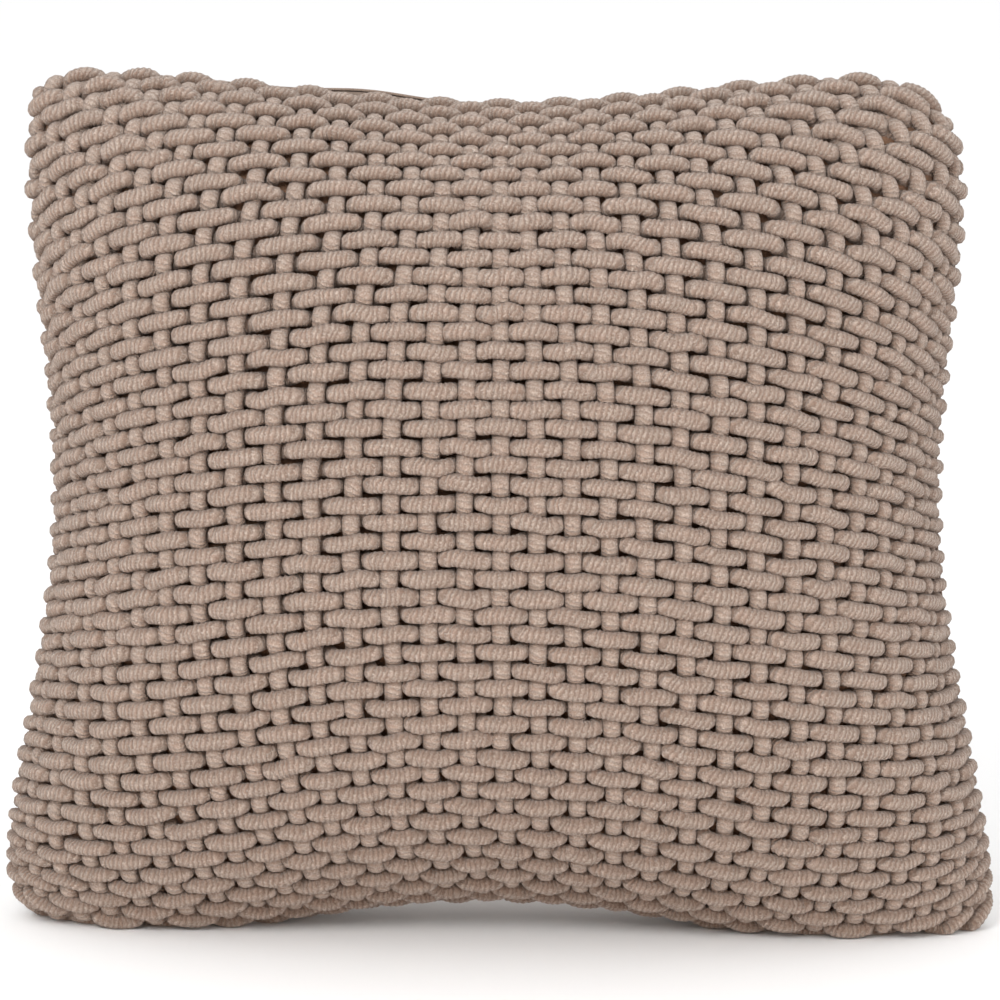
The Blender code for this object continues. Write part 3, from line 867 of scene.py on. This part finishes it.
def closed_pad(name, front, back, finish):
    """A closed pad between two grids that share their rim."""
    rows, columns = front.shape[:2]
    index = np.arange(rows * columns).reshape(rows, columns)
    inside = np.zeros((rows, columns), bool)
    inside[1:-1, 1:-1] = True
    matching = index.copy()
    matching[inside] = rows * columns + np.arange(inside.sum())

    def faces(grid):
        return np.stack([grid[:-1, :-1], grid[:-1, 1:], grid[1:, 1:], grid[1:, :-1]], axis=-1).reshape(-1, 4)

    points = np.concatenate([front.reshape(-1, 3), back[inside]])
    return make_piece(name, points, np.concatenate([faces(index), faces(matching)[:, ::-1]]), [], finish)


def add_insert():
    shape, weave, colours, _ = settings()
    cover = Cover(shape)
    casing = plain_finish("casing_cloth", colours.casing, 0.85, grain=1600.0, depth=0.0002)
    fibre = plain_finish("fibre", colours.fibre, 0.95, grain=500.0, depth=0.001)
    u, v = np.meshgrid(clustered(64), clustered(64))
    both_halves = ("insert_casing_front", "insert_casing_back")
    for name, rim, back_inset, finish, slot, nodes in (
        ("insert_cushion", 0.0155, 0.0062, casing, "insert_casing", both_halves),
        ("insert_stuffing", 0.0180, 0.0085, fibre, "fibre_filling", ("insert_filling",)),
    ):
        front = cover.front(u, v, rim, rim)
        back = cover.back(u, v, rim, back_inset)
        piece = closed_pad(name, front, back, finish)
        belongs(piece, "cover", slot, *nodes)


# ---------------------------------------------------------------- stage


def aim(thing, target):
    away = thing.location - Vector(target)
    thing.rotation_mode = "QUATERNION"
    thing.rotation_quaternion = away.to_track_quat("Z", "Y")


def add_light(name, place, target, size, power, tint=(1, 1, 1)):
    light = bpy.data.lights.new(name, "AREA")
    light.shape = "RECTANGLE"
    light.size = size[0]
    light.size_y = size[1]
    light.energy = power
    light.color = tint
    lamp = bpy.data.objects.new(name, light)
    lamp.location = place
    lamp.visible_camera = False
    bpy.context.scene.collection.objects.link(lamp)
    aim(lamp, target)


def add_stage():
    _, _, _, stage = settings()
    low, high = CAD_BOX
    middle = (Vector(low) + Vector(high)) / 2
    floor_finish = Board("floor_white")
    mottle = floor_finish.noise(2.0, 2.0)
    floor_finish.finish(
        Base_Color=floor_finish.blend(mottle * 0.2, (0.93, 0.93, 0.93), (0.90, 0.90, 0.90)), Roughness=0.9
    )
    for selected in list(bpy.context.selected_objects):
        selected.select_set(False)
    bpy.ops.mesh.primitive_plane_add(size=30, location=(0, 0, 0))
    floor = bpy.context.object
    floor.name = "floor"
    floor.data.materials.append(floor_finish.material)

    world = bpy.data.worlds.new("studio")
    world.use_nodes = True
    tree = world.node_tree
    glow = tree.nodes["Background"]
    backdrop = tree.nodes.new("ShaderNodeBackground")
    for background, strength in ((glow, 0.5), (backdrop, 1.02)):
        background.inputs["Color"].default_value = (1.0, 1.0, 1.0, 1)
        background.inputs["Strength"].default_value = strength
    path = tree.nodes.new("ShaderNodeLightPath")
    mix = tree.nodes.new("ShaderNodeMixShader")
    tree.links.new(path.outputs["Is Camera Ray"], mix.inputs[0])
    tree.links.new(glow.outputs[0], mix.inputs[1])
    tree.links.new(backdrop.outputs[0], mix.inputs[2])
    tree.links.new(mix.outputs[0], tree.nodes["World Output"].inputs["Surface"])
    bpy.context.scene.world = world
    add_light("overhead", (0, 0, 4.5), (0, 0.001, 0), (40, 40), stage.overhead)
    add_light("key", (-0.7, -2.0, 1.5), middle, (1.2, 1.0), stage.key)
    add_light("fill", (1.6, -1.6, 0.7), middle, (1.4, 1.4), stage.key * 0.3)
    add_light("bounce", (0, -0.9, 0.03), (0, 0, 0.05), (1.4, 0.3), stage.bounce, (1, 0.62, 0.38))

    camera = bpy.data.cameras.new("camera")
    camera.lens = stage.lens
    camera.sensor_width = 36
    camera.clip_start = 0.05
    camera.clip_end = 50
    holder = bpy.data.objects.new("camera", camera)
    azimuth = math.radians(stage.azimuth)
    elevation = math.radians(stage.elevation)
    flat = math.cos(elevation)
    away = Vector((math.sin(azimuth) * flat, -math.cos(azimuth) * flat, math.sin(elevation)))
    middle += Vector((stage.aside, 0, 0))
    holder.location = middle + away * stage.distance
    bpy.context.scene.collection.objects.link(holder)
    aim(holder, middle)
    bpy.context.scene.camera = holder
    bpy.context.scene.view_settings.view_transform = "Standard"


# ---------------------------------------------------------------- operators


class PILLOW_OT_wefts(bpy.types.Operator):
    """Weave the crossing cords"""

    bl_idname = "pillow.wefts"
    bl_label = "Weave Wefts"

    def execute(self, context):
        add_wefts()
        return {"FINISHED"}


class PILLOW_OT_warps(bpy.types.Operator):
    """Weave the upright cords"""

    bl_idname = "pillow.warps"
    bl_label = "Weave Warps"

    def execute(self, context):
        add_warps()
        return {"FINISHED"}


class PILLOW_OT_lining(bpy.types.Operator):
    """Lay the lining behind the weave"""

    bl_idname = "pillow.lining"
    bl_label = "Lay Lining"

    def execute(self, context):
        add_lining()
        return {"FINISHED"}


class PILLOW_OT_back(bpy.types.Operator):
    """Sew the two panels of the back"""

    bl_idname = "pillow.back"
    bl_label = "Sew Back"

    def execute(self, context):
        add_back_panels()
        return {"FINISHED"}


class PILLOW_OT_seam(bpy.types.Operator):
    """Turn in and overlock the seam allowance"""

    bl_idname = "pillow.seam"
    bl_label = "Overlock Seam"

    def execute(self, context):
        add_seam_edge()
        return {"FINISHED"}


class PILLOW_OT_zip(bpy.types.Operator):
    """Finish the zip and its stitching"""

    bl_idname = "pillow.zip"
    bl_label = "Fit Zip"

    def execute(self, context):
        add_zip()
        return {"FINISHED"}


class PILLOW_OT_insert(bpy.types.Operator):
    """Stuff the insert"""

    bl_idname = "pillow.insert"
    bl_label = "Stuff Insert"

    def execute(self, context):
        add_insert()
        return {"FINISHED"}


class PILLOW_OT_stage(bpy.types.Operator):
    """Set the floor, the lights and the camera"""

    bl_idname = "pillow.stage"
    bl_label = "Set Stage"

    def execute(self, context):
        add_stage()
        return {"FINISHED"}


OPERATORS = (
    PILLOW_OT_stage,
    PILLOW_OT_insert,
    PILLOW_OT_lining,
    PILLOW_OT_wefts,
    PILLOW_OT_warps,
    PILLOW_OT_back,
    PILLOW_OT_seam,
    PILLOW_OT_zip,
)


class PILLOW_PT_panel(bpy.types.Panel):
    """Makes the pillow's pieces"""

    bl_idname = "PILLOW_PT_panel"
    bl_label = "Throw Pillow"
    bl_space_type = "VIEW_3D"
    bl_region_type = "UI"
    bl_category = "Pillow"

    def draw(self, context):
        for operator in OPERATORS:
            self.layout.operator(operator.bl_idname)


GROUPS = (PillowShape, PillowWeave, PillowColours, PillowStage)
CLASSES = (*GROUPS, *OPERATORS, PILLOW_PT_panel)


def register():
    for kind in CLASSES:
        bpy.utils.register_class(kind)
    bpy.types.Scene.pillow_shape = bpy.props.PointerProperty(type=PillowShape)
    bpy.types.Scene.pillow_weave = bpy.props.PointerProperty(type=PillowWeave)
    bpy.types.Scene.pillow_colours = bpy.props.PointerProperty(type=PillowColours)
    bpy.types.Scene.pillow_stage = bpy.props.PointerProperty(type=PillowStage)


def unregister():
    del bpy.types.Scene.pillow_stage
    del bpy.types.Scene.pillow_colours
    del bpy.types.Scene.pillow_weave
    del bpy.types.Scene.pillow_shape
    for kind in reversed(CLASSES):
        bpy.utils.unregister_class(kind)


def main():
    register()
    for operator in OPERATORS:
        group, name = operator.bl_idname.split(".")
        getattr(getattr(bpy.ops, group), name)()
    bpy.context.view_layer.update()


if __name__ == "__main__":
    main()
